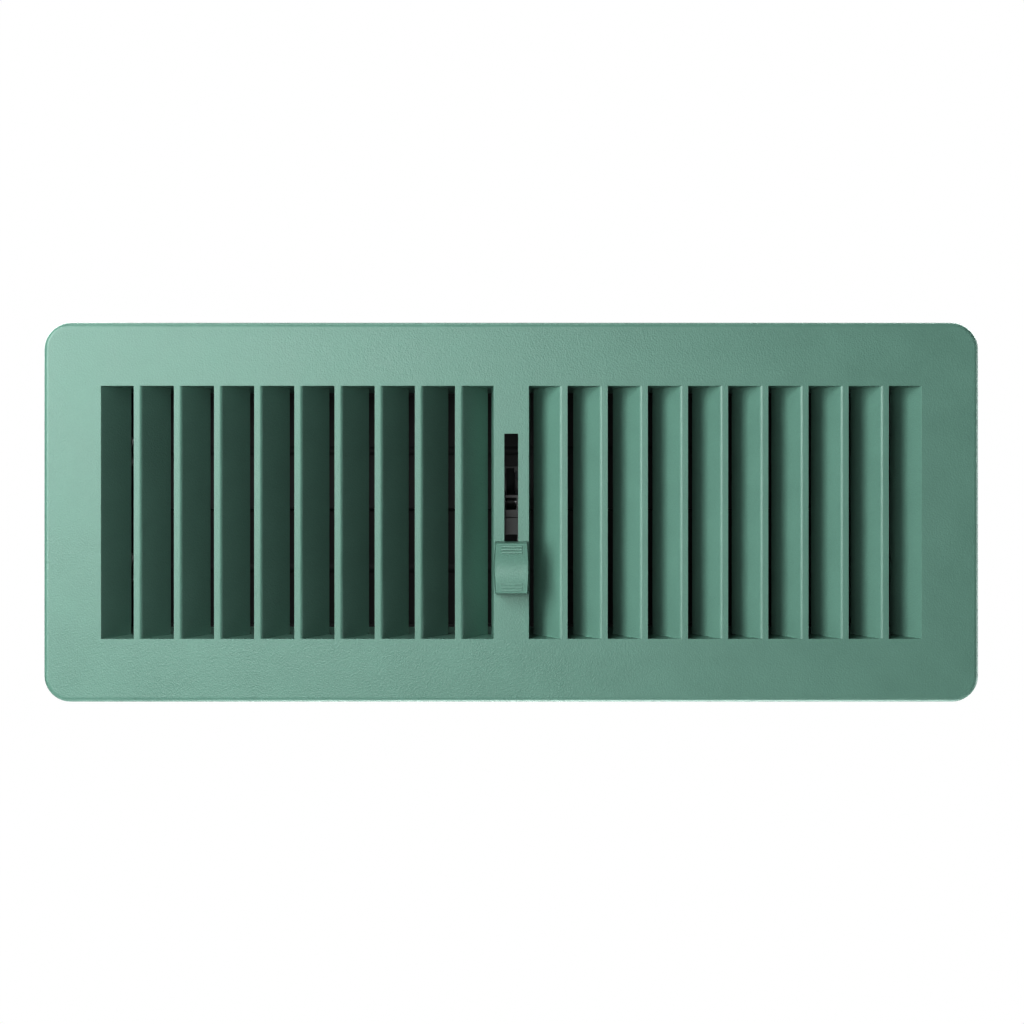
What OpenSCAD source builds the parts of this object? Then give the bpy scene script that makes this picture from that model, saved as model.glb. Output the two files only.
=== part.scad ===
// Louvred air register with a thumb slide that opens a pair of geared damper blades.
// Modelled upright: +X along the face, +Z up, and the face looks towards -Y.
// The origin is the centre of the plane that the flange seats on.
// Every sub-part is drawn lying down, with +Y up the face and +Z out of the wall,
// and the register() module stands it up.

/* [Face] */
// Width of the flange
face_w = 340; // [336:1:346]
// Height of the flange
face_h = 138; // [134:1:144]
// Radius of the flange's corners
face_corner = 9.5; // [6:0.5:12]
// How far the face stands out from the wall
face_out = 4; // [3.5:0.5:5]
// Thickness of the moulded face
face_skin = 2.5; // [2:0.1:2.8]
// Radius of the rounding round the face
edge_round = 1.8; // [1.4:0.1:2]
// Width of the rim that seats on the wall
rim_w = 2; // [1.5:0.5:3]

/* [Louvres] */
// Width of the louvred opening
opening_w = 298.4; // [298:0.1:299]
// Height of the louvred opening
opening_h = 92; // [90:0.5:94]
// Slats on each side of the centre bar
slats_per_side = 9; // [9:1:9]
// Distance from one slat to the next
slat_pitch = 14.6; // [14.4:0.1:14.7]
// Width of a slat's front strip
slat_front = 2.7; // [2.4:0.1:3]
// Width of a slat's rear edge
slat_rear = 2; // [1.6:0.1:2.2]
// Depth of the slats behind the face
slat_depth = 12; // [11:0.5:13]
// How far a slat leans towards the centre over its depth
slat_lean = 9.4; // [9:0.1:9.8]

/* [Centre bar] */
// Width of the centre bar at the face
bar_w = 12.8; // [12.4:0.1:13.2]
// Width of the centre bar at its rear edge
bar_rear_w = 14.3; // [14:0.1:15]
// Wall of the centre bar's sides
bar_wall = 1.4; // [1.2:0.1:1.6]
// Width of the slot that the stem slides in
slot_w = 5; // [4.8:0.1:5.2]
// Length of the slot
slot_len = 57.2; // [57:0.1:58]

/* [Neck] */
// Depth of the neck behind the flange
neck_depth = 26; // [24:1:28]
// Draft of the neck's walls
neck_draft = 4; // [3.5:0.1:4.4]
// Thickness of the neck's walls
neck_wall = 1.8; // [1.6:0.1:2]

/* [Slide] */
// Length of the knob
knob_len = 19; // [18:0.5:20]
// Width across the middle of the knob
knob_w = 12.1; // [11.5:0.1:12.4]
// Height of the knob
knob_h = 7; // [6:0.5:9]
// Height of the knob's centre when the blades are shut
knob_rest = -20; // [-20:0.1:-19.9]
// Length of the stem in the slot
stem_len = 17.8; // [17:0.1:18]
// Gap between sliding parts and the face moulding
slide_gap = 0.3; // [0.25:0.05:0.4]

/* [Damper] */
// Distance between the two blade pivots
pivot_spread = 44; // [44:1:44]
// Depth of the pivots behind the seating plane
pivot_depth = 34; // [34:0.5:35]
// Angle of a shut blade from upright
blade_tilt = 4; // [4:1:4]
// Thickness of a blade
blade_t = 2; // [1.8:0.1:2.2]
// Radius of the barrel along a blade
barrel_r = 3.6; // [3.5:0.1:3.8]
// Radius of the pivot pins
pin_r = 2; // [2:0.1:2.2]
// Radius of the crank pin's path
crank_r = 27.2; // [27.1:0.1:27.3]
// Radial clearance of a running pin
running_fit = 0.05; // [0.03:0.01:0.08]

/* [Gears] */
// Gear module of the sectors
gear_module = 2; // [2:1:2]
// Teeth that a full gear would have
gear_teeth = 22; // [22:1:22]
// Teeth on each sector
sector_teeth = 8; // [8:1:8]
// Thickness of a sector
sector_t = 4; // [3.5:0.5:4]
// How much thinner a tooth is than its space
backlash = 0.4; // [0.3:0.05:0.5]

/* [Hidden] */
$fn = 48;
eps = 0.01;

// Face and louvres
skin_back = face_out - face_skin;
slat_rear_z = face_out - slat_depth;
half_w = opening_w / 2;
half_h = opening_h / 2;
first_slat = half_w - slats_per_side * slat_pitch;
slat_round = 0.7;
lean_rate = slat_lean / slat_depth;

// Neck
draft_rate = tan(neck_draft);
neck_rear = -neck_depth;
neck_outer_h = half_h + neck_wall;
neck_outer_w = 148;
neck_top = skin_back + 1;
lug_w = 14;
lug_z = -21;
lug_at = [-100, 0, 100];

// Damper frame, a sleeve that snaps over the neck
frame_wall = 1.5;
frame_front = -18;
frame_rear = -46;
frame_in_h = neck_outer_h - (skin_back - frame_front) * draft_rate + 0.16;
frame_in_w = neck_outer_w - (skin_back - frame_front) * draft_rate + 0.16;
housing_rear = -60.5;
housing_in = 136;
stop_in = 42.9;
stop_front = -28.5;
stop_rear = -31.8;

// Blade ends along X, and the pieces between a blade's end and the frame
blade_right = 137;
blade_left = -138;
barrel_right = 138.3;
hub_end = barrel_right + sector_t;
bush_gap = 0.3;
bush_flange = 0.6;
bush_flange_r = 4.6;
bush_r = 3.2;
boss_r = 5.6;
boss_in = hub_end + bush_gap + bush_flange;
frame_end = frame_in_w + frame_wall;
pin_seat = 14;
press_gap = 0.02;

// Blade section, measured from its pivot
blade_back = 1.2;
blade_front = blade_back + blade_t;
blade_inner = 21.75;
blade_outer = 21.6;
lip_t = 0.8;
lip_to = -23.7;
lip_back = -0.7;

// Crank, measured from the upper pivot in the blade's own directions
crank_at_rest = 43;
crank_angle = 90 + crank_at_rest + blade_tilt;
crank_u = crank_r * cos(crank_angle);
crank_w = crank_r * sin(crank_angle);
crank_pin_r = 1.5;
crank_pin_len = 8.4;
crank_boss_r = 3;
crank_web = 3;
foot_from = -20.5;
foot_to = -6;
foot_t = 2;
foot_w = 11.2;
rivet_r = 1.2;
rivet_head_r = 1.9;
rivet_head = 0.6;
rivet_x = 3.5;
rivet_at = [-16.5, -9.5];

// Slide
travel = 38;
fork_rest = pivot_spread / 2 - travel / 2;
fork_half = 3.3;
fork_slot = 2.12;
fork_cut = 2;
fork_rear = -15.9;
carriage_w = 8.8;
carriage_front = skin_back - slide_gap - 0.1;
carriage_t = 2.1;
carriage_end = -29.9;
step_y = -2;
roof_front = -0.4;
stem_w = slot_w - 0.6;
stem_bottom = -slot_len / 2 + 0.2;
knob_base = face_out + slide_gap;
leg_w = 2.4;
leg_len = 3.6;
leg_rear = carriage_front - carriage_t - 1.4;
hatch_len = 2.3;
spring_mid = -19;
spring_half = 7.5;
spring_rise = 1.2;
spring_t = 0.35;
spring_seat = 3.6;

// Wall clips, bowed steel leaves staked to the neck
clip_w = 12;
clip_t = 0.5;
clip_at = [-110, 110];

// Stands a piece up, from lying on its back to its place on the wall.
module register() rotate([90, 0, 0]) children();

// Turns a drawing in X and Z into a prism along Y.
module along_y(length) rotate([90, 0, 0]) linear_extrude(length, center = true) children();

// Turns a drawing in Y and Z into a prism along X.
module along_x(length) rotate([90, 0, 90]) linear_extrude(length, center = true) children();

// Draws its child and the same child mirrored left to right.
module both_sides() {
    children();
    mirror([1, 0, 0]) children();
}

// Draws its child and the same child mirrored top to bottom.
module top_and_bottom() {
    children();
    mirror([0, 1, 0]) children();
}

// Puts a blade's own directions at the upper pivot: Y along the blade, Z out of its front.
module at_upper_pivot() {
    translate([0, pivot_spread / 2, -pivot_depth]) rotate([-blade_tilt, 0, 0]) children();
}

// Points round a rectangle with rounded corners.
function rounded(w, h, r, steps = 10) = [
    for (quarter = [0:3], step = [0:steps])
        let (
            turn = 90 * (quarter + step / steps),
            side_x = (quarter == 0 || quarter == 3) ? 1 : -1,
            side_y = quarter < 2 ? 1 : -1
        )
        [side_x * (w / 2 - r) + r * cos(turn), side_y * (h / 2 - r) + r * sin(turn)]
];

// Width lost on one side of the neck between its top and a depth z.
function drafted(z) = (skin_back - z) * draft_rate;

// A trapezium that narrows with depth at the neck's draft, for a half width stated at skin_back.
function draft_section(half, top, rear) = [
    [-half + drafted(top), top], [half - drafted(top), top],
    [half - drafted(rear), rear], [-half + drafted(rear), rear]
];

module rounded_plate(w, h, r, t) linear_extrude(t) polygon(rounded(w, h, r));

// The flange: a plate with a rounded edge, hollow behind, with a rim that seats on the wall.
module flange() {
    edge_steps = 4;
    flat = face_out - edge_round;
    difference() {
        union() {
            rounded_plate(face_w, face_h, face_corner, flat);
            hull()
                for (i = [0:edge_steps]) {
                    turn = 90 * i / edge_steps;
                    inset = edge_round * (1 - cos(turn));
                    translate([0, 0, flat + edge_round * sin(turn) - eps])
                        rounded_plate(face_w - 2 * inset, face_h - 2 * inset,
                            face_corner - inset, eps);
                }
        }
        translate([0, 0, -1])
            rounded_plate(face_w - 2 * rim_w, face_h - 2 * rim_w, face_corner - rim_w,
                1 + skin_back);
    }
}

module neck_block() {
    intersection() {
        along_y(face_h) polygon(draft_section(neck_outer_w, neck_top, neck_rear));
        along_x(face_w) polygon(draft_section(neck_outer_h, neck_top, neck_rear));
    }
}

// Everything that is open inside the neck and the face.
module air_way() {
    inner_w = neck_outer_w - neck_wall;
    top_half_h = half_h + face_skin * draft_rate;
    end_wall_top = face_out - (half_w - inner_w) / lean_rate - 0.3;
    intersection() {
        along_y(face_h) polygon([
            [-half_w, face_out + 1], [half_w, face_out + 1], [half_w, face_out - 0.1],
            [inner_w, end_wall_top], [inner_w - drafted(neck_rear - 1), neck_rear - 1],
            [-inner_w + drafted(neck_rear - 1), neck_rear - 1], [-inner_w, end_wall_top],
            [-half_w, face_out - 0.1]
        ]);
        along_x(face_w) polygon(draft_section(top_half_h - face_skin * draft_rate * 2,
            face_out + 1, neck_rear - 1));
    }
}

// Section of a slat whose rounded front corner is at x.
function slat_section(x) = [
    [x + slat_front, face_out], [x + slat_round, face_out],
    [x + 0.16 * slat_round, face_out - 0.24 * slat_round],
    [x - slat_round * lean_rate, face_out - slat_round],
    [x - slat_lean, slat_rear_z], [x - slat_lean + slat_rear, slat_rear_z]
];

module slats() {
    both_sides()
        for (i = [0:slats_per_side - 1])
            along_y(opening_h + 1) polygon(slat_section(first_slat + i * slat_pitch));
}

// The slanted panel that closes each end of the louvres.
module end_panels() {
    both_sides()
        along_y(opening_h + 1) polygon([
            [half_w + 0.1, face_out], [half_w, face_out], [half_w - slat_lean, slat_rear_z],
            [half_w - slat_lean + slat_rear, slat_rear_z], [half_w + 0.1, skin_back + 0.1]
        ]);
}

module centre_bar() {
    foot = bar_rear_w / 2;
    inner = bar_w / 2 - bar_wall;
    difference() {
        along_y(opening_h + 1) polygon([
            [-bar_w / 2, face_out], [bar_w / 2, face_out], [foot, slat_rear_z],
            [foot - bar_wall, slat_rear_z], [inner, skin_back], [-inner, skin_back],
            [-foot + bar_wall, slat_rear_z], [-foot, slat_rear_z]
        ]);
        cube([slot_w, slot_len, 4 * face_out], center = true);
    }
}

// Wedges on the neck that catch in the damper frame's windows.
module snap_lugs() {
    wall = neck_outer_h - drafted(lug_z);
    top_and_bottom()
        for (x = lug_at)
            translate([x, 0, 0]) along_x(lug_w) polygon([
                [wall - 1, lug_z + 1.2], [wall + 1, lug_z + 1.2],
                [wall + 1, lug_z + 0.6], [wall - 0.2, lug_z - 2], [wall - 1, lug_z - 2]
            ]);
}

// Puts a clip's directions on the neck's sloping outer wall: Y out of the wall, Z to the front.
module on_neck_wall(x) {
    translate([x, neck_outer_h, skin_back]) rotate([-neck_draft, 0, 0]) children();
}

module clip_stakes() {
    top_and_bottom()
        for (x = clip_at)
            on_neck_wall(x) translate([0, -0.5, -4.5]) rotate([-90, 0, 0]) {
                cylinder(r = 1.4, h = 1.2);
                translate([0, 0, 1.05]) cylinder(r = 2.2, h = 0.6);
            }
}

module face_grille() {
    color("#7fa798") register() {
        difference() {
            union() {
                flange();
                neck_block();
            }
            air_way();
        }
        slats();
        end_panels();
        centre_bar();
        snap_lugs();
        clip_stakes();
    }
}

module flange_gasket() {
    side = 1.5;
    color("#3a3d3e") register() difference() {
        rounded_plate(face_w - 2 * (rim_w + side), face_h - 2 * (rim_w + side),
            face_corner - rim_w - side, skin_back);
        translate([0, 0, -1]) rounded_plate(face_w - 28, face_h - 28, 4, skin_back + 2);
    }
}

// One leaf clip: a flat foot with a stake hole and a bow that grips the duct wall.
module leaf_clip() {
    bow = 2.1;
    difference() {
        translate([0, 0, -8.5]) along_x(clip_w) polygon([
            [0, 7.5], [0, 0], [bow - 0.4, -4.4], [bow, -6], [bow - 0.5, -7.6],
            [bow - 0.1, -7.9], [bow + clip_t, -6], [bow - 0.4 + clip_t, -4],
            [clip_t, 0.4], [clip_t, 7.5]
        ]);
        translate([0, -1, -4.5]) rotate([-90, 0, 0]) cylinder(r = 1.5, h = 3);
    }
}

module mounting_clips() {
    color("#b9bcbf") register() top_and_bottom()
        for (x = clip_at) on_neck_wall(x) translate([0, 0.05, 0]) leaf_clip();
}

module frame_box(in_w, in_h, front, rear, grow) {
    translate([-in_w - grow, -in_h - grow, rear])
        cube([2 * (in_w + grow), 2 * (in_h + grow), front - rear]);
}

// The deeper end of the damper frame, closed behind the gear sectors.
module end_housing() {
    outer_h = 2 * (frame_in_h + frame_wall);
    difference() {
        translate([housing_in, -outer_h / 2, housing_rear])
            cube([frame_end - housing_in, outer_h, frame_rear - housing_rear + 1]);
        translate([housing_in - 1, -frame_in_h, housing_rear + frame_wall])
            cube([frame_in_w - housing_in + 1, 2 * frame_in_h, frame_rear - housing_rear + 1]);
    }
}

module damper_frame() {
    color("#202324") register() difference() {
        union() {
            difference() {
                frame_box(frame_in_w, frame_in_h, frame_front, frame_rear, frame_wall);
                frame_box(frame_in_w, frame_in_h, frame_front + 1, frame_rear - 1, 0);
            }
            top_and_bottom()
                translate([blade_left, stop_in, stop_rear])
                    cube([blade_right - blade_left, frame_in_h - stop_in + 0.2,
                        stop_front - stop_rear]);
            both_sides() {
                end_housing();
                for (side = [-1, 1])
                    translate([boss_in, side * pivot_spread / 2, -pivot_depth])
                        rotate([0, 90, 0]) cylinder(r = boss_r, h = frame_end - boss_in);
            }
        }
        both_sides()
            for (side = [-1, 1])
                translate([boss_in - 1, side * pivot_spread / 2, -pivot_depth])
                    rotate([0, 90, 0]) cylinder(r = bush_r, h = frame_end);
        for (x = lug_at)
            translate([x - lug_w / 2 - 0.5, -face_h / 2, lug_z - 2.3])
                cube([lug_w + 1, face_h, 3.9]);
    }
}

module pivot_bushes() {
    color("#d9dad4") register() both_sides()
        for (side = [-1, 1])
            translate([boss_in - bush_flange, side * pivot_spread / 2, -pivot_depth])
                rotate([0, 90, 0]) difference() {
                    union() {
                        cylinder(r = bush_flange_r, h = bush_flange);
                        cylinder(r = bush_r - press_gap, h = frame_end - boss_in + bush_flange);
                    }
                    translate([0, 0, -1]) cylinder(r = pin_r + running_fit, h = frame_end);
                }
}

// Half width of the knob at a share of its length from the middle, for barrel-shaped sides.
function barrel_half(share, w) = w / 2 - 0.35 * share * share;

function barrel_outline(w, l) = concat(
    [for (i = [-4:4]) [barrel_half(i / 4, w), i / 4 * l / 2]],
    [for (i = [4:-1:-4]) [-barrel_half(i / 4, w), i / 4 * l / 2]]
);

// Height of the knob's thumb hollow at y from its middle.
knob_crest = knob_len / 2 - 1;
knob_hollow = 1.6;
function hollow_z(y) = knob_h - knob_hollow * cos(90 * y / knob_crest);

// Side section of the knob: a shallow thumb hollow between two crests.
module knob_section() {
    polygon(concat(
        [[-knob_len / 2, 0], [knob_len / 2, 0], [knob_len / 2 - 0.3, knob_h - 0.8],
            [knob_len / 2 - 0.6, knob_h - 0.1]],
        [for (i = [8:-1:-8]) [knob_crest * i / 8, hollow_z(knob_crest * i / 8)]],
        [[-knob_len / 2 + 0.6, knob_h - 0.1], [-knob_len / 2 + 0.3, knob_h - 0.8]]
    ));
}

module slide_knob() {
    ridge_at = [7.9, 6.8, 5.7];
    ridge_w = 0.55;
    ridge_h = 0.3;
    color("#86ad9f") register() {
        translate([0, knob_rest, knob_base]) {
            intersection() {
                hull() {
                    linear_extrude(eps) polygon(barrel_outline(knob_w + 0.6, knob_len));
                    translate([0, 0, knob_h - eps])
                        linear_extrude(eps) polygon(barrel_outline(knob_w - 0.4, knob_len));
                }
                along_x(2 * knob_w) knob_section();
            }
            top_and_bottom()
                for (y = ridge_at)
                    translate([-3.8, y - ridge_w / 2, knob_h / 2])
                        cube([7.6, ridge_w, hollow_z(y) + ridge_h - knob_h / 2]);
        }
        for (end = [0, 1])
            translate([-leg_w / 2, stem_bottom + 2 + end * (stem_len - 4 - leg_len), leg_rear]) {
                cube([leg_w, leg_len, knob_base - leg_rear + 0.5]);
                translate([-0.5, 0, 0]) cube([leg_w + 1, leg_len, 1.2]);
            }
    }
}

// The sliding carriage: a guide plate, with a fork that carries the crank pin up and down.
module slide_carriage() {
    plate_rear = carriage_front - carriage_t;
    roof_rear = -3;
    color("#26292a") register() difference() {
        union() {
            translate([-carriage_w / 2, carriage_end, plate_rear])
                cube([carriage_w, step_y - carriage_end, carriage_t]);
            translate([-carriage_w / 2, step_y - 3, roof_rear])
                cube([carriage_w, fork_rest + fork_half - step_y + 3, roof_front - roof_rear]);
            translate([-carriage_w / 2, fork_rest - fork_half, fork_rear])
                cube([carriage_w, 2 * fork_half, -fork_rear - 1]);
            translate([-stem_w / 2, stem_bottom, plate_rear])
                cube([stem_w, stem_len, knob_base - plate_rear]);
        }
        // Hatch just above the stem
        translate([-stem_w / 2, stem_bottom + stem_len, plate_rear - 1])
            cube([stem_w, hatch_len, carriage_t + 2]);
        // Space for the crank arm between the prongs
        translate([-fork_cut, fork_rest - fork_slot, fork_rear - 1])
            cube([2 * fork_cut, 2 * fork_slot, 20]);
        translate([-fork_cut, fork_rest - fork_half - 1, fork_rear - 1])
            cube([2 * fork_cut, 2 * fork_half + 2, roof_rear - fork_rear + 1]);
        // Cross slot that holds the crank pin
        translate([-carriage_w, fork_rest - fork_slot, fork_rear - 1])
            cube([2 * carriage_w, 2 * fork_slot, 1 - fork_rear - 4.6]);
        // Windows for the knob's snap legs
        for (end = [0, 1])
            translate([-leg_w / 2 - 0.1, stem_bottom + 1.9 + end * (stem_len - 4 - leg_len),
                plate_rear - 1])
                cube([leg_w + 0.2, leg_len + 0.2, 3 * carriage_t + 2]);
        // Pocket for the friction spring
        translate([spring_seat, spring_mid - spring_half - 0.3, plate_rear - 1])
            cube([carriage_w, 2 * spring_half + 0.6, carriage_t + 2]);
    }
}

// A bowed leaf between the carriage and the side of the centre bar.
module friction_spring() {
    steps = 12;
    bowed = [for (i = [-steps:steps])
        [spring_seat + 0.05 + (spring_rise - spring_t) * cos(90 * i / steps),
            spring_mid + spring_half * i / steps]];
    outer = [for (i = [steps:-1:-steps])
        [spring_seat + 0.05 + spring_t + (spring_rise - spring_t) * cos(90 * i / steps),
            spring_mid + spring_half * i / steps]];
    color("#c3c6c8") register()
        translate([0, 0, carriage_front - carriage_t + 0.4])
            linear_extrude(carriage_t - 0.8) polygon(concat(bowed, outer));
}

// One damper blade at the upper pivot: a flat plate in front of a barrel with a pin bore at each end.
module blade() {
    barrel_left = -hub_end;
    at_upper_pivot() difference() {
        union() {
            translate([blade_left, -blade_inner, blade_back])
                cube([blade_right - blade_left, blade_inner + blade_outer, blade_t]);
            translate([barrel_left, 0, 0]) rotate([0, 90, 0])
                cylinder(r = barrel_r, h = barrel_right - barrel_left);
        }
        for (end = [barrel_left - 1, barrel_right - pin_seat])
            translate([end, 0, 0]) rotate([0, 90, 0])
                cylinder(r = pin_r + press_gap, h = pin_seat + 1);
    }
}

// Puts its child on each crank rivet's axis.
module at_rivets() {
    at_upper_pivot()
        for (u = rivet_at, side = [-1, 1]) translate([side * rivet_x, u, 0]) children();
}

module upper_blade() {
    color("#2b2f30") register() difference() {
        blade();
        at_rivets() cylinder(r = rivet_r + press_gap, h = 9);
    }
}

// The lower blade carries a lip that closes the gap behind the upper blade's edge.
module lower_blade() {
    color("#2b2f30") register() mirror([0, 1, 0]) {
        blade();
        at_upper_pivot() {
            translate([blade_left, lip_to, lip_back])
                cube([blade_right - blade_left, -blade_inner - lip_to + 1, lip_t]);
            translate([blade_left, -blade_inner, lip_back])
                cube([blade_right - blade_left, 1, blade_back - lip_back + 0.5]);
        }
    }
}

// Involute gear geometry for the sectors.
pitch_r = gear_module * gear_teeth / 2;
base_r = pitch_r * cos(20);
tip_r = pitch_r + 0.9 * gear_module;
root_r = pitch_r - 1.25 * gear_module;
tooth_step = 360 / gear_teeth;
// Angle that an involute from the base circle has swept when it reaches radius r
function involute(r) = let (roll = sqrt(pow(r / base_r, 2) - 1)) roll * 180 / PI - atan(roll);
tooth_half = (PI * gear_module - backlash) / 2 / pitch_r / 2 * 180 / PI + involute(pitch_r);
flank_steps = 5;
function flank_r(i) = base_r + (tip_r - base_r) * i / flank_steps;
function at_angle(r, turn) = [r * cos(turn), r * sin(turn)];
function tooth(turn) = concat(
    [at_angle(root_r, turn - tooth_half)],
    [for (i = [0:flank_steps]) at_angle(flank_r(i), turn - tooth_half + involute(flank_r(i)))],
    [for (i = [flank_steps:-1:0]) at_angle(flank_r(i), turn + tooth_half - involute(flank_r(i)))],
    [at_angle(root_r, turn + tooth_half)]
);

// A gear sector on the upper pivot, whose teeth run back from the line between the pivots.
// shift moves the teeth round by a share of one tooth.
module sector(shift) {
    first = shift * tooth_step - tooth_step;
    translate([barrel_right, pivot_spread / 2, -pivot_depth])
        rotate([90, 0, 90]) difference() {
            linear_extrude(sector_t) {
                polygon(concat([[0, 0]],
                    [for (i = [0:sector_teeth - 1], p = tooth(180 + first + i * tooth_step)) p]));
                circle(r = 6);
            }
            translate([0, 0, -1]) cylinder(r = pin_r + press_gap, h = sector_t + 2);
        }
}

module upper_gear_sector() {
    color("#3a3f41") register() sector(0);
}

module lower_gear_sector() {
    color("#3a3f41") register() mirror([0, 1, 0]) sector(0.5);
}

// A pivot pin at the right end of the upper blade.
module pivot_pin() {
    start = barrel_right - pin_seat + 1;
    translate([start, pivot_spread / 2, -pivot_depth])
        rotate([0, 90, 0]) cylinder(r = pin_r, h = frame_end - start - 0.2);
}

module upper_right_pin() color("#c8cacc") register() pivot_pin();

module lower_right_pin() color("#c8cacc") register() mirror([0, 1, 0]) pivot_pin();

// A left pin reaches further in, because its blade's barrel runs on to the bush.
module left_pin() {
    start = hub_end - pin_seat + 1;
    translate([-frame_end + 0.2, pivot_spread / 2, -pivot_depth])
        rotate([0, 90, 0]) cylinder(r = pin_r, h = frame_end - start - 0.2);
}

module upper_left_pin() color("#c8cacc") register() left_pin();

module lower_left_pin() color("#c8cacc") register() mirror([0, 1, 0]) left_pin();

// The crank: a foot on the upper blade and a web that reaches forward to the crank pin.
module drive_crank() {
    color("#303436") register() difference() {
        at_upper_pivot() union() {
            translate([-foot_w / 2, foot_from, blade_front])
                cube([foot_w, foot_to - foot_from, foot_t]);
            along_x(crank_web) {
                polygon([
                    [foot_from, blade_front + 0.5], [foot_to, blade_front + 0.5],
                    [foot_to - 1.5, blade_front + foot_t + 1.5], [crank_u + 2.6, crank_w + 1.5],
                    [crank_u - 2.9, crank_w], [foot_from - 0.4, blade_front + foot_t + 1]
                ]);
                translate([crank_u, crank_w]) circle(r = crank_boss_r);
            }
        }
        at_upper_pivot() translate([-foot_w, crank_u, crank_w]) rotate([0, 90, 0])
            cylinder(r = crank_pin_r + press_gap, h = 2 * foot_w);
        at_rivets() cylinder(r = rivet_r + press_gap, h = blade_front + foot_t + 1);
    }
}

// Rivets through the crank's foot and the blade, with a head on each side.
module crank_rivets() {
    color("#3b3d3e") register() at_rivets() {
        translate([0, 0, blade_back - rivet_head])
            cylinder(r = rivet_r, h = blade_t + foot_t + 2 * rivet_head);
        for (z = [blade_back - rivet_head, blade_front + foot_t])
            translate([0, 0, z]) cylinder(r = rivet_head_r, h = rivet_head);
    }
}

module crank_pin() {
    color("#c8cacc") register() at_upper_pivot()
        translate([-crank_pin_len / 2, crank_u, crank_w])
            rotate([0, 90, 0]) cylinder(r = crank_pin_r, h = crank_pin_len);
}

face_grille();
flange_gasket();
mounting_clips();
damper_frame();
pivot_bushes();
slide_knob();
slide_carriage();
friction_spring();
upper_blade();
upper_gear_sector();
upper_left_pin();
upper_right_pin();
drive_crank();
crank_rivets();
crank_pin();
lower_blade();
lower_gear_sector();
lower_left_pin();
lower_right_pin();
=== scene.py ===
"""Looks of a louvred air register.

It has a grained green moulding, a thumb slide and a black damper behind them.
"""

import logging
import math
from dataclasses import dataclass, field
from enum import Enum
from typing import Protocol

import bmesh
import bpy
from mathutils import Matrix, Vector

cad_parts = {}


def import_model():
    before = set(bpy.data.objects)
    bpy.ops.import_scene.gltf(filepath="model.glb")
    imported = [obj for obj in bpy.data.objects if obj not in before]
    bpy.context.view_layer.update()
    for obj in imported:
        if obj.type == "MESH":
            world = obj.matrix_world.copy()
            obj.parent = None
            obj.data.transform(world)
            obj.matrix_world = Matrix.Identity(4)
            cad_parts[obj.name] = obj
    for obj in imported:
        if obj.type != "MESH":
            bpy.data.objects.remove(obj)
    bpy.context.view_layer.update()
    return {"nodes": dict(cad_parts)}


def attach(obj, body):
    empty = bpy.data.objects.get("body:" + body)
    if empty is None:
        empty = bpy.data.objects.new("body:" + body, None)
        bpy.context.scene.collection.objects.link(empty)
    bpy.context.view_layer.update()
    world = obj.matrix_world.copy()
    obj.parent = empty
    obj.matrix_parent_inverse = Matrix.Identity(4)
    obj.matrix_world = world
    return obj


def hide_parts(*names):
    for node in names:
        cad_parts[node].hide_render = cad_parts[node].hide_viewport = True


log = logging.getLogger("register")

MM = 0.001

Colour = tuple[float, float, float]
Place = tuple[float, float, float]


class Grain(Enum):
    """How strongly a moulded surface carries its mould's eroded texture."""

    ERODED = 1.0
    SATIN = 0.5
    POLISHED = 0.2


class Finish(Protocol):
    """Anything that can make one material."""

    name: str

    def make(self) -> bpy.types.Material:
        """Build the material."""


@dataclass(frozen=True)
class NodeKit:
    """Short ways to add shader nodes to one material."""

    tree: bpy.types.NodeTree

    def add(self, kind: str, **values: object) -> bpy.types.Node:
        """Add one node.

        Args:
            kind: The node's Blender type name.
            **values: Attributes of the node, or inputs by name with spaces as underscores.

        Returns:
            The new node.
        """
        node = self.tree.nodes.new(kind)
        for name, value in values.items():
            if hasattr(node, name):
                setattr(node, name, value)
            else:
                node.inputs[name.replace("_", " ")].default_value = value
        return node

    def link(self, source: bpy.types.NodeSocket, target: bpy.types.NodeSocket) -> None:
        """Join one socket to another."""
        self.tree.links.new(source, target)

    def spread(self, source: bpy.types.NodeSocket, low: float, high: float,
               start: float = 0.3, end: float = 0.7) -> bpy.types.NodeSocket:
        """Stretch part of a pattern's range to values between low and high.

        Args:
            source: The pattern's value socket.
            low: The value where the pattern is at start or below.
            high: The value where the pattern is at end or above.
            start: The pattern's value that becomes low.
            end: The pattern's value that becomes high.

        Returns:
            The stretched value's socket.
        """
        ranged = self.add("ShaderNodeMapRange", clamp=True)
        for socket, value in zip(list(ranged.inputs)[1:5], (start, end, low, high), strict=True):
            socket.default_value = value
        self.link(source, ranged.inputs[0])
        return ranged.outputs[0]

    def blend(self, share: bpy.types.NodeSocket, dark: Colour,
              light: Colour) -> bpy.types.NodeSocket:
        """Mix two colours by a share between 0 and 1.

        Args:
            share: The socket that says how much of the light colour shows.
            dark: The colour at 0.
            light: The colour at 1.

        Returns:
            The mixed colour's socket.
        """
        mix = self.add("ShaderNodeMix", data_type="RGBA")
        self.link(share, mix.inputs["Factor"])
        mix.inputs[6].default_value = (*dark, 1)
        mix.inputs[7].default_value = (*light, 1)
        return mix.outputs[2]


def scaled(colour: Colour, factor: float) -> Colour:
    """A colour made lighter or darker by one factor."""
    return (colour[0] * factor, colour[1] * factor, colour[2] * factor)


def blank(name: str) -> tuple[bpy.types.Material, NodeKit, bpy.types.Node]:
    """Start a material.

    Args:
        name: The material's name.

    Returns:
        The material, its node kit and its principled shader.
    """
    material = bpy.data.materials.new(name)
    material.use_nodes = True
    return material, NodeKit(material.node_tree), material.node_tree.nodes["Principled BSDF"]


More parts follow.
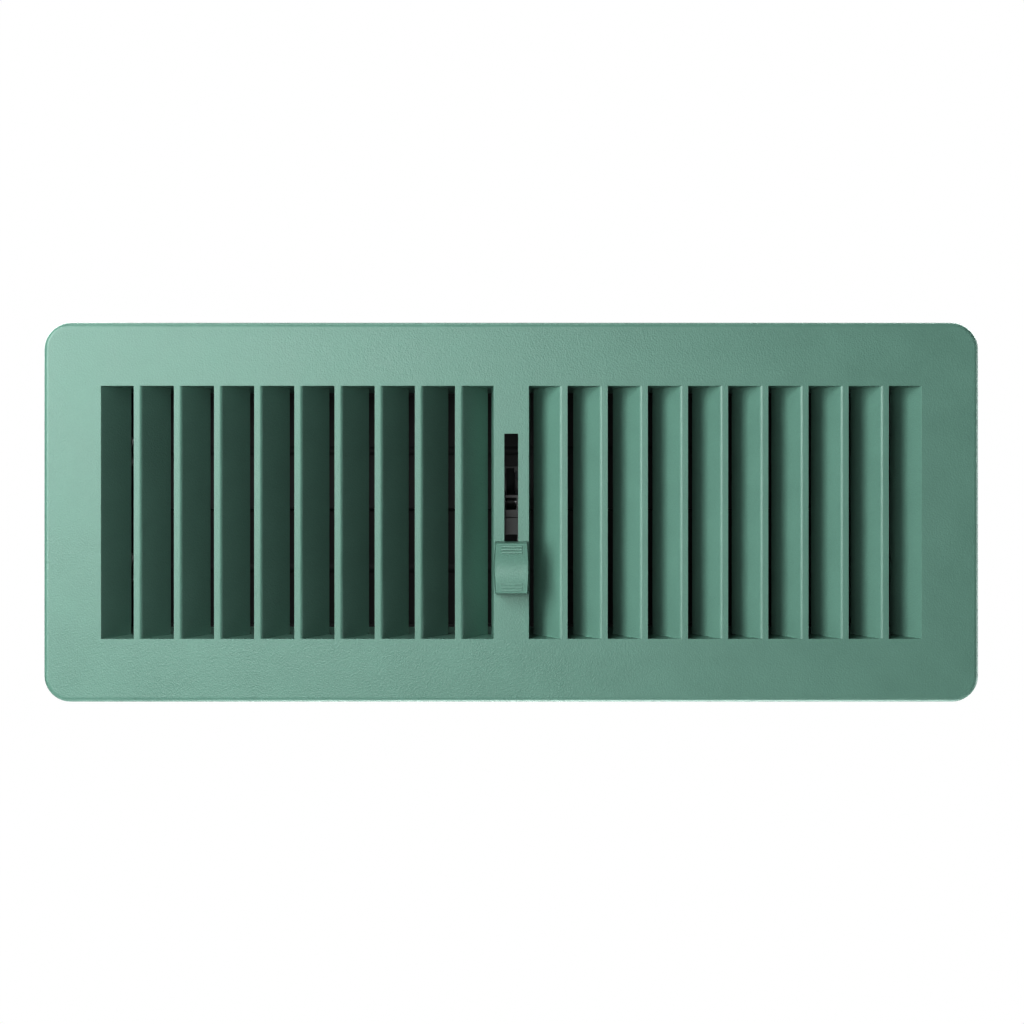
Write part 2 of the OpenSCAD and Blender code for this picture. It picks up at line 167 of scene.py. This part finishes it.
@dataclass(frozen=True)
class MouldedPlastic:
    """A moulded plastic with a fine eroded grain, faint flow mottle and a soft sheen."""

    name: str
    colour: Colour
    roughness: float
    grain: Grain = Grain.ERODED
    grain_size: float = 0.5 * MM
    mottle_size: float = 14 * MM
    relief: float = 0.02 * MM
    variation: float = 0.05
    ior: float = 1.57
    grain_share: float = 0.6
    mottle_share: float = 0.4
    pit_density: float = 0.8
    roughness_spread: float = 0.025

    def make(self) -> bpy.types.Material:
        """Build the material.

        Returns:
            The finished material.
        """
        material, kit, shader = blank(self.name)
        shader.inputs["IOR"].default_value = self.ior
        place = kit.add("ShaderNodeTexCoord")
        grain = kit.add("ShaderNodeTexNoise", Scale=1 / self.grain_size, Detail=2.0, Roughness=0.6)
        mottle = kit.add("ShaderNodeTexNoise", Scale=1 / self.mottle_size, Detail=4.0)
        pits = kit.add("ShaderNodeTexVoronoi", Scale=self.pit_density / self.grain_size)
        for pattern in (grain, mottle, pits):
            kit.link(place.outputs["Object"], pattern.inputs["Vector"])
        share = kit.add("ShaderNodeMath", operation="MULTIPLY_ADD")
        kit.link(kit.spread(grain.outputs[0], 0.0, 1.0), share.inputs[0])
        share.inputs[1].default_value = self.grain_share
        kit.link(kit.spread(mottle.outputs[0], 0.0, self.mottle_share), share.inputs[2])
        colour = kit.blend(share.outputs[0], scaled(self.colour, 1 - self.variation),
                           scaled(self.colour, 1 + self.variation))
        kit.link(colour, shader.inputs["Base Color"])
        rough = kit.spread(mottle.outputs[0], self.roughness - self.roughness_spread,
                           self.roughness + self.roughness_spread)
        kit.link(rough, shader.inputs["Roughness"])
        height = kit.add("ShaderNodeMath", operation="ADD")
        kit.link(grain.outputs[0], height.inputs[0])
        kit.link(pits.outputs["Distance"], height.inputs[1])
        bump = kit.add("ShaderNodeBump", Strength=self.grain.value, Distance=self.relief)
        kit.link(height.outputs[0], bump.inputs["Height"])
        kit.link(bump.outputs["Normal"], shader.inputs["Normal"])
        return material


@dataclass(frozen=True)
class DrawnSteel:
    """Drawn, plated or blackened steel with fine lines along one axis."""

    name: str
    colour: Colour = (0.56, 0.56, 0.57)
    roughness: float = 0.3
    line_size: float = 0.12 * MM
    stretch: Place = (0.04, 1.0, 1.0)
    stain_density: float = 60.0
    line_depth: float = 0.004 * MM
    line_strength: float = 0.25

    def make(self) -> bpy.types.Material:
        """Build the material.

        Returns:
            The finished material.
        """
        material, kit, shader = blank(self.name)
        shader.inputs["Metallic"].default_value = 1.0
        place = kit.add("ShaderNodeTexCoord")
        mapping = kit.add("ShaderNodeMapping")
        mapping.inputs["Scale"].default_value = self.stretch
        lines = kit.add("ShaderNodeTexNoise", Scale=1 / self.line_size, Detail=4.0)
        stains = kit.add("ShaderNodeTexNoise", Scale=self.stain_density * self.line_size / MM,
                         Detail=3.0)
        kit.link(place.outputs["Object"], mapping.inputs["Vector"])
        kit.link(mapping.outputs["Vector"], lines.inputs["Vector"])
        kit.link(place.outputs["Object"], stains.inputs["Vector"])
        rough = kit.add("ShaderNodeMath", operation="ADD")
        kit.link(kit.spread(lines.outputs[0], self.roughness - 0.06, self.roughness + 0.08),
                 rough.inputs[0])
        kit.link(kit.spread(stains.outputs[0], -0.03, 0.06), rough.inputs[1])
        kit.link(rough.outputs[0], shader.inputs["Roughness"])
        colour = kit.blend(kit.spread(lines.outputs[0], 0.0, 1.0), scaled(self.colour, 0.8),
                           scaled(self.colour, 1.1))
        kit.link(colour, shader.inputs["Base Color"])
        bump = kit.add("ShaderNodeBump", Strength=self.line_strength, Distance=self.line_depth)
        kit.link(lines.outputs[0], bump.inputs["Height"])
        kit.link(bump.outputs["Normal"], shader.inputs["Normal"])
        return material


@dataclass(frozen=True)
class ClosedCellFoam:
    """Dark foam with open pores on its cut faces, with painted shade in the pores."""

    name: str
    colour: Colour = (0.045, 0.048, 0.05)
    pore: float = 0.7 * MM
    pore_depth: float = 0.15 * MM
    pore_strength: float = 0.8

    def make(self) -> bpy.types.Material:
        """Build the material.

        Returns:
            The finished material.
        """
        material, kit, shader = blank(self.name)
        place = kit.add("ShaderNodeTexCoord")
        cells = kit.add("ShaderNodeTexVoronoi", Scale=1 / self.pore)
        kit.link(place.outputs["Object"], cells.inputs["Vector"])
        depth = cells.outputs["Distance"]
        # painted shade: the colour darkens towards each pore's centre, where the bump sinks the
        # pit, and is lighter on the cell walls
        colour = kit.blend(kit.spread(depth, 0.0, 1.0), scaled(self.colour, 0.5),
                           scaled(self.colour, 1.4))
        kit.link(colour, shader.inputs["Base Color"])
        kit.link(kit.spread(depth, 0.98, 0.8), shader.inputs["Roughness"])
        bump = kit.add("ShaderNodeBump", Strength=self.pore_strength, Distance=self.pore_depth)
        kit.link(depth, bump.inputs["Height"])
        kit.link(bump.outputs["Normal"], shader.inputs["Normal"])
        return material


@dataclass
class Workshop:
    """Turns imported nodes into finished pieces, and keeps the finishes."""

    nodes: dict[str, bpy.types.Object]
    finishes: dict[str, bpy.types.Material] = field(default_factory=dict)
    hard_angle: float = 25.0
    sharp_angle: float = 50.0
    flat_angle: float = 0.5
    weld_distance: float = 0.002 * MM
    normal_weight: int = 100

    def stock(self, *finishes: Finish) -> None:
        """Make some finishes and keep them under their names, which are the record's slots."""
        for finish in finishes:
            self.finishes[finish.name] = finish.make()

    def merged(self, node: str) -> bmesh.types.BMesh:
        """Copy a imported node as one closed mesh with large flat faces.

        Args:
            node: The node's name.

        Returns:
            A bmesh that the caller frees.
        """
        mesh = bmesh.new()
        mesh.from_mesh(self.nodes[node].data)
        bmesh.ops.remove_doubles(mesh, verts=mesh.verts, dist=self.weld_distance)
        bmesh.ops.dissolve_limit(mesh, angle_limit=math.radians(self.flat_angle),
                                 verts=mesh.verts, edges=mesh.edges)
        return mesh

    def ease(self, mesh: bmesh.types.BMesh, width: float, segments: int) -> None:
        """Round a mesh's hard edges, as a mould leaves them.

        Args:
            mesh: The mesh that is changed.
            width: How wide each rounded edge is, in metres.
            segments: Steps across a rounded edge.
        """
        hard = [edge for edge in mesh.edges if len(edge.link_faces) == 2
                and edge.calc_face_angle(0) > math.radians(self.hard_angle)]
        bmesh.ops.bevel(mesh, geom=hard, offset=width, offset_type="OFFSET", segments=segments,
                        profile=0.5, affect="EDGES", clamp_overlap=True, material=-1)

    def finish(self, mesh: bmesh.types.BMesh, node: str, slot: str, body: str) -> None:
        """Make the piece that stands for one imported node.

        Args:
            mesh: The finished shape, in metres in the shared frame. It is freed.
            node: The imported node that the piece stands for.
            slot: The record's material slot.
            body: The moving body that the piece rides on.
        """
        bmesh.ops.recalc_face_normals(mesh, faces=mesh.faces)
        for face in mesh.faces:
            face.smooth = True
        for edge in mesh.edges:
            turn = edge.calc_face_angle(0) if len(edge.link_faces) == 2 else 0
            edge.smooth = turn < math.radians(self.sharp_angle)
        data = bpy.data.meshes.new(f"{node}_shell")
        mesh.to_mesh(data)
        mesh.free()
        piece = bpy.data.objects.new(f"{node}_shell", data)
        bpy.context.scene.collection.objects.link(piece)
        data.materials.append(self.finishes[slot])
        normals = piece.modifiers.new("even_normals", "WEIGHTED_NORMAL")
        normals.weight = self.normal_weight
        normals.keep_sharp = True
        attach(piece, body)
        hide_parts(node)
        log.info("built %s with %d faces", piece.name, len(data.polygons))

    def moulded(self, node: str, slot: str, body: str, width: float = 0.25 * MM,
                segments: int = 2) -> None:
        """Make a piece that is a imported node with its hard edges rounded.

        Args:
            node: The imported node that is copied.
            slot: The record's material slot.
            body: The moving body that the piece rides on.
            width: How wide each rounded edge is, in metres.
            segments: Steps across a rounded edge.
        """
        mesh = self.merged(node)
        self.ease(mesh, width, segments)
        self.finish(mesh, node, slot, body)


@dataclass
class FaceMoulding:
    """The green face with its louvres, and what holds it in the duct."""

    body: str = "grille"
    face_edge: float = 0.3 * MM
    leaf_edge: float = 0.12 * MM

    def build(self, shop: Workshop) -> None:
        """Make the moulding, its gasket and its wall clips."""
        shop.moulded("face_grille", "grille_plastic", self.body, self.face_edge, 3)
        shop.moulded("flange_gasket", "gasket_foam", self.body, 2 * self.leaf_edge)
        shop.moulded("mounting_clips", "spring_steel", self.body, self.leaf_edge)


@dataclass
class ThumbSlide:
    """The knob on the centre bar, and the carriage and leaf spring behind it."""

    body: str = "slider"
    knob_edge: float = 0.22 * MM
    carriage_edge: float = 0.15 * MM
    spring_edge: float = 0.05 * MM

    def build(self, shop: Workshop) -> None:
        """Make the three sliding pieces."""
        shop.moulded("slide_knob", "knob_plastic", self.body, self.knob_edge, 3)
        shop.moulded("slide_carriage", "mechanism_plastic", self.body, self.carriage_edge)
        shop.moulded("friction_spring", "spring_steel", self.body, self.spring_edge)


@dataclass
class DamperUnit:
    """The black frame behind the neck with its two geared blades."""

    frame_body: str = "grille"
    moulded_edge: float = 0.3 * MM
    tooth_edge: float = 0.15 * MM
    pin_edge: float = 0.25 * MM
    rivet_edge: float = 0.2 * MM

    def build(self, shop: Workshop) -> None:
        """Make the frame with its bushes, then each blade with what turns with it."""
        shop.moulded("damper_frame", "damper_plastic", self.frame_body, self.moulded_edge)
        shop.moulded("pivot_bushes", "bush_plastic", self.frame_body, self.tooth_edge)
        for side in ("upper", "lower"):
            self._blade(shop, side)
        body = "upper_damper"
        shop.moulded("drive_crank", "mechanism_plastic", body, self.tooth_edge)
        shop.moulded("crank_rivets", "rivet_steel", body, self.rivet_edge, 3)
        shop.moulded("crank_pin", "pin_steel", body, self.tooth_edge)

    def _blade(self, shop: Workshop, side: str) -> None:
        """Make one blade, its gear sector and its two pins.

        Args:
            shop: Where the pieces are made.
            side: The first word of the nodes' names.
        """
        body = f"{side}_damper"
        shop.moulded(f"{side}_blade", "damper_plastic", body, self.moulded_edge)
        shop.moulded(f"{side}_gear_sector", "mechanism_plastic", body, self.tooth_edge)
        for end in ("left", "right"):
            shop.moulded(f"{side}_{end}_pin", "pin_steel", body, self.pin_edge)


@dataclass(frozen=True)
class Softbox:
    """One rectangular soft light that faces the register."""

    name: str
    place: Place
    size: tuple[float, float]
    power: float
    aim: Place = (0.0, 0.0, 0.0)

    def light(self) -> None:
        """Place the light."""
        data = bpy.data.lights.new(self.name, "AREA")
        data.shape = "RECTANGLE"
        data.size, data.size_y = self.size
        data.energy = self.power
        lamp = bpy.data.objects.new(self.name, data)
        lamp.location = self.place
        towards = Vector(self.aim) - Vector(self.place)
        lamp.rotation_euler = towards.to_track_quat("-Z", "Y").to_euler()
        bpy.context.scene.collection.objects.link(lamp)


SOFTBOXES = (
    Softbox("key", (-0.6, -0.69, 0.28), (0.48, 0.85), 11.1),
    Softbox("sheen", (-0.16, -0.93, 0.07), (0.34, 0.34), 2.7),
    Softbox("rim_right", (0.90, 0.15, -0.10), (0.5, 0.5), 5.0),
    Softbox("rim_above", (-0.10, 0.15, 0.90), (0.6, 0.4), 3.0),
    Softbox("rim_below", (0.10, 0.25, -0.80), (0.6, 0.4), 6.5),
    Softbox("back_left", (-0.70, 1.00, 0.50), (0.8, 0.8), 20.0),
    Softbox("back_right", (0.80, 0.90, 0.70), (0.8, 0.8), 22.0),
)


@dataclass
class Studio:
    """The camera, floor and surround."""

    eye: Place = (-15 * MM, -884 * MM, 26 * MM)
    lens: float = 85.1
    sensor_width: float = 36.0
    near_clip: float = 10 * MM
    shift: tuple[float, float] = (0.041, -0.0695)
    floor_drop: float = 900 * MM
    floor_radius: float = 6.0
    floor_sides: int = 96
    floor_tone: float = 0.8
    floor_roughness: float = 0.9
    surround_light: float = 0.003
    contrast: float = 1.35

    def set_up(self) -> None:
        """Place everything that isn't part of the register."""
        scene = bpy.context.scene
        scene.view_settings.view_transform = "Standard"
        scene.view_settings.look = "None"
        scene.view_settings.gamma = 1 / self.contrast
        self._camera(scene)
        self._surround(scene)
        self._floor()
        for softbox in SOFTBOXES:
            softbox.light()
        log.info("studio is set up")

    def _camera(self, scene: bpy.types.Scene) -> None:
        """Look square at the face from a short way above and left of its centre."""
        data = bpy.data.cameras.new("camera")
        data.lens = self.lens
        data.sensor_width = self.sensor_width
        data.shift_x, data.shift_y = self.shift
        data.clip_start = self.near_clip
        camera = bpy.data.objects.new("camera", data)
        camera.location = self.eye
        camera.rotation_euler = (math.radians(90), 0, 0)
        scene.collection.objects.link(camera)
        scene.camera = camera

    def _whitened(self, kit: NodeKit, out: bpy.types.NodeSocket, felt: bpy.types.NodeSocket,
                  seen: bpy.types.NodeSocket) -> None:
        """Show one shader to the camera while another one lights the scene.

        Args:
            kit: The node kit of the tree.
            out: The surface socket that is fed.
            felt: The shader that lights the register.
            seen: The shader that shows behind it.
        """
        path = kit.add("ShaderNodeLightPath")
        mix = kit.add("ShaderNodeMixShader")
        kit.link(path.outputs["Is Camera Ray"], mix.inputs[0])
        kit.link(felt, mix.inputs[1])
        kit.link(seen, mix.inputs[2])
        kit.link(mix.outputs[0], out)

    def _surround(self, scene: bpy.types.Scene) -> None:
        """A white surround that shows white and lights the register only a little."""
        world = bpy.data.worlds.new("surround")
        scene.world = world
        world.use_nodes = True
        world.node_tree.nodes.clear()
        kit = NodeKit(world.node_tree)
        seen = kit.add("ShaderNodeBackground", Color=(1, 1, 1, 1), Strength=1.0)
        felt = kit.add("ShaderNodeBackground", Color=(1, 1, 1, 1), Strength=self.surround_light)
        out = kit.add("ShaderNodeOutputWorld")
        self._whitened(kit, out.inputs["Surface"], felt.outputs[0], seen.outputs[0])

    def _floor(self) -> None:
        """A plain pale floor well below the register."""
        mesh = bmesh.new()
        bmesh.ops.create_circle(mesh, cap_ends=True, segments=self.floor_sides,
                                radius=self.floor_radius)
        bmesh.ops.translate(mesh, verts=mesh.verts, vec=(0, 0, -self.floor_drop))
        data = bpy.data.meshes.new("floor")
        mesh.to_mesh(data)
        mesh.free()
        floor = bpy.data.objects.new("floor", data)
        bpy.context.scene.collection.objects.link(floor)
        material, kit, shader = blank("pale_floor")
        shader.inputs["Base Color"].default_value = (*(self.floor_tone,) * 3, 1)
        shader.inputs["Roughness"].default_value = self.floor_roughness
        bright = kit.add("ShaderNodeEmission", Color=(1, 1, 1, 1), Strength=1.0)
        out = material.node_tree.nodes["Material Output"]
        self._whitened(kit, out.inputs["Surface"], shader.outputs[0], bright.outputs[0])
        data.materials.append(material)


def stock_finishes(shop: Workshop) -> None:
    """Make every finish that the register uses."""
    shop.stock(
        MouldedPlastic("grille_plastic", (0.172, 0.322, 0.266), 0.36, relief=0.045 * MM,
                       variation=0.07),
        MouldedPlastic("knob_plastic", (0.172, 0.324, 0.267), 0.36, relief=0.04 * MM,
                       variation=0.08),
        MouldedPlastic("damper_plastic", (0.007, 0.008, 0.0085), 0.46, Grain.SATIN, ior=1.38),
        MouldedPlastic("mechanism_plastic", (0.02, 0.023, 0.023), 0.4, Grain.SATIN),
        MouldedPlastic("bush_plastic", (0.05, 0.05, 0.048), 0.45, Grain.POLISHED),
        ClosedCellFoam("gasket_foam"),
        DrawnSteel("spring_steel", (0.5, 0.5, 0.51), 0.28, stretch=(1.0, 0.04, 1.0)),
        DrawnSteel("pin_steel"),
        DrawnSteel("rivet_steel", (0.045, 0.047, 0.05), 0.42, stretch=(1.0, 1.0, 1.0)),
    )


def main() -> None:
    """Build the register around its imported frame."""
    logging.basicConfig(level=logging.INFO, format="%(name)s: %(message)s")
    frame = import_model()
    shop = Workshop(frame["nodes"])
    stock_finishes(shop)
    for assembly in (FaceMoulding(), ThumbSlide(), DamperUnit()):
        assembly.build(shop)
    Studio().set_up()


if __name__ == "__main__":
    main()
